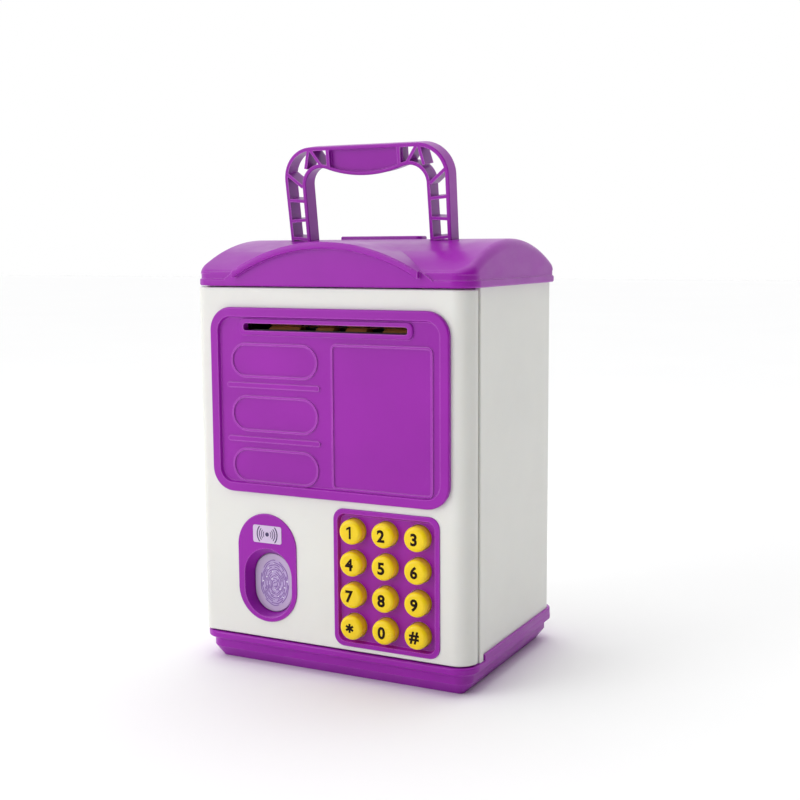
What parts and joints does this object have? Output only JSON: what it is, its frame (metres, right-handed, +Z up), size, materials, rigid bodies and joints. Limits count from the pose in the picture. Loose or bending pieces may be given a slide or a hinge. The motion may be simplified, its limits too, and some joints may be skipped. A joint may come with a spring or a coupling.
{
  "type": "toy cash machine savings bank",
  "caption": "Box-shaped toy cash machine bank with an arched roof, open truss handle, hinged front door, round push keys, a fingerprint button and a note slot.",
  "frame": {"origin": "under the middle of the bank, on the surface it stands on", "axes": "+Z up, +Y from the door to the back, +X to the right of a person facing the door"},
  "size_m": [0.1368, 0.1052, 0.2335],
  "materials": {
    "purple_plastic": "moulded, satin gloss",
    "white_plastic": "moulded, satin gloss",
    "key_yellow": "moulded, softly rounded, printed marks",
    "lens_lilac": "translucent, printed pattern behind",
    "label": "printed film",
    "black_plastic": "moulded, plain",
    "white_nylon": "moulded gears",
    "roller_rubber": "tan rubber",
    "silicone": "moulded",
    "board": "coated laminate",
    "steel": "plated",
    "cell_jacket": "printed sleeve, no lettering",
    "speaker_cone": "paper cone in a plastic rim"
  },
  "bodies": {
    "root": {"base_tray": "purple_plastic", "body_shell": "white_plastic", "roof_shell": "purple_plastic", "coin_guide": "black_plastic", "base_screws": "steel", "roof_screws": "steel"},
    "handle": {"handle": "purple_plastic"},
    "door": {"door_shell": "white_plastic", "slot_panel": "purple_plastic", "keypad_plate": "purple_plastic", "keypad_mat": "silicone", "fingerprint_plate": "purple_plastic", "icon_sticker": "label", "finger_switch": "board", "circuit_board": "board", "door_back_cover": "white_plastic", "battery_holder": "black_plastic", "batteries": "cell_jacket", "battery_contacts": "steel", "battery_cover": "white_plastic", "door_screws": "steel", "hinge_pins": "steel", "speaker": "speaker_cone", "roller_frame": "black_plastic", "feed_motor": "steel", "lock_solenoid": "steel"},
    "fingerprint_button": {"fingerprint_lens": "lens_lilac"},
    "drive_roller": {"drive_shaft": "steel", "drive_rollers": "roller_rubber", "drive_gear": "white_nylon", "drive_link_gear": "white_nylon"},
    "idler_roller": {"idler_shaft": "steel", "idler_rollers": "roller_rubber", "idler_link_gear": "white_nylon"},
    "train_gear": {"train_gear": "white_nylon"},
    "motor_pinion": {"motor_pinion": "white_nylon"},
    "latch": {"latch_bolt": "steel", "latch_spring": "steel"},
    "key_1": {"key_1": "key_yellow"},
    "key_2": {"key_2": "key_yellow"},
    "key_3": {"key_3": "key_yellow"},
    "key_4": {"key_4": "key_yellow"},
    "key_5": {"key_5": "key_yellow"},
    "key_6": {"key_6": "key_yellow"},
    "key_7": {"key_7": "key_yellow"},
    "key_8": {"key_8": "key_yellow"},
    "key_9": {"key_9": "key_yellow"},
    "key_star": {"key_star": "key_yellow"},
    "key_0": {"key_0": "key_yellow"},
    "key_hash": {"key_hash": "key_yellow"}
  },
  "joints": [
    {"name": "door_hinge", "type": "hinge", "parent": "root", "child": "door", "pos_m": [-0.0632, -0.04255, 0.0913], "axis": [0, 0, -1], "range_deg": [0, 110]},
    {"name": "handle_tilt", "type": "hinge", "parent": "root", "child": "handle", "pos_m": [0, -0.0042, 0.1833], "axis": [-1, 0, 0], "range_deg": [0, 16]},
    {"name": "key_1_press", "type": "slide", "parent": "door", "child": "key_1", "axis": [0, 1, 0], "range_m": [0, 0.0015], "stiffness_N_per_m": 400, "springref_m": -0.001},
    {"name": "key_2_press", "type": "slide", "parent": "door", "child": "key_2", "axis": [0, 1, 0], "range_m": [0, 0.0015], "stiffness_N_per_m": 400, "springref_m": -0.001},
    {"name": "key_3_press", "type": "slide", "parent": "door", "child": "key_3", "axis": [0, 1, 0], "range_m": [0, 0.0015], "stiffness_N_per_m": 400, "springref_m": -0.001},
    {"name": "key_4_press", "type": "slide", "parent": "door", "child": "key_4", "axis": [0, 1, 0], "range_m": [0, 0.0015], "stiffness_N_per_m": 400, "springref_m": -0.001},
    {"name": "key_5_press", "type": "slide", "parent": "door", "child": "key_5", "axis": [0, 1, 0], "range_m": [0, 0.0015], "stiffness_N_per_m": 400, "springref_m": -0.001},
    {"name": "key_6_press", "type": "slide", "parent": "door", "child": "key_6", "axis": [0, 1, 0], "range_m": [0, 0.0015], "stiffness_N_per_m": 400, "springref_m": -0.001},
    {"name": "key_7_press", "type": "slide", "parent": "door", "child": "key_7", "axis": [0, 1, 0], "range_m": [0, 0.0015], "stiffness_N_per_m": 400, "springref_m": -0.001},
    {"name": "key_8_press", "type": "slide", "parent": "door", "child": "key_8", "axis": [0, 1, 0], "range_m": [0, 0.0015], "stiffness_N_per_m": 400, "springref_m": -0.001},
    {"name": "key_9_press", "type": "slide", "parent": "door", "child": "key_9", "axis": [0, 1, 0], "range_m": [0, 0.0015], "stiffness_N_per_m": 400, "springref_m": -0.001},
    {"name": "key_star_press", "type": "slide", "parent": "door", "child": "key_star", "axis": [0, 1, 0], "range_m": [0, 0.0015], "stiffness_N_per_m": 400, "springref_m": -0.001},
    {"name": "key_0_press", "type": "slide", "parent": "door", "child": "key_0", "axis": [0, 1, 0], "range_m": [0, 0.0015], "stiffness_N_per_m": 400, "springref_m": -0.001},
    {"name": "key_hash_press", "type": "slide", "parent": "door", "child": "key_hash", "axis": [0, 1, 0], "range_m": [0, 0.0015], "stiffness_N_per_m": 400, "springref_m": -0.001},
    {"name": "fingerprint_press", "type": "slide", "parent": "door", "child": "fingerprint_button", "axis": [0, 1, 0], "range_m": [0, 0.0008], "stiffness_N_per_m": 500, "springref_m": -0.001},
    {"name": "roller_spin", "type": "hinge", "parent": "door", "child": "drive_roller", "pos_m": [0, -0.0385, 0.1489], "axis": [1, 0, 0], "continuous": true},
    {"name": "idler_spin", "type": "hinge", "parent": "door", "child": "idler_roller", "pos_m": [0, -0.0385, 0.1581], "axis": [1, 0, 0], "continuous": true},
    {"name": "train_gear_spin", "type": "hinge", "parent": "door", "child": "train_gear", "pos_m": [-0.0455, -0.03343, 0.13802], "axis": [1, 0, 0], "continuous": true},
    {"name": "motor_spin", "type": "hinge", "parent": "door", "child": "motor_pinion", "pos_m": [-0.0455, -0.03343, 0.12902], "axis": [1, 0, 0], "continuous": true},
    {"name": "latch_slide", "type": "slide", "parent": "door", "child": "latch", "axis": [1, 0, 0], "range_m": [0, 0.004], "stiffness_N_per_m": 150, "springref_m": -0.001, "deforming": ["latch_spring"]}
  ],
  "couplings": [
    {"joint": "idler_spin", "follows": "roller_spin", "ratio": -1},
    {"joint": "train_gear_spin", "follows": "roller_spin", "ratio": -1.2222},
    {"joint": "motor_spin", "follows": "roller_spin", "ratio": 1.8333}
  ]
}
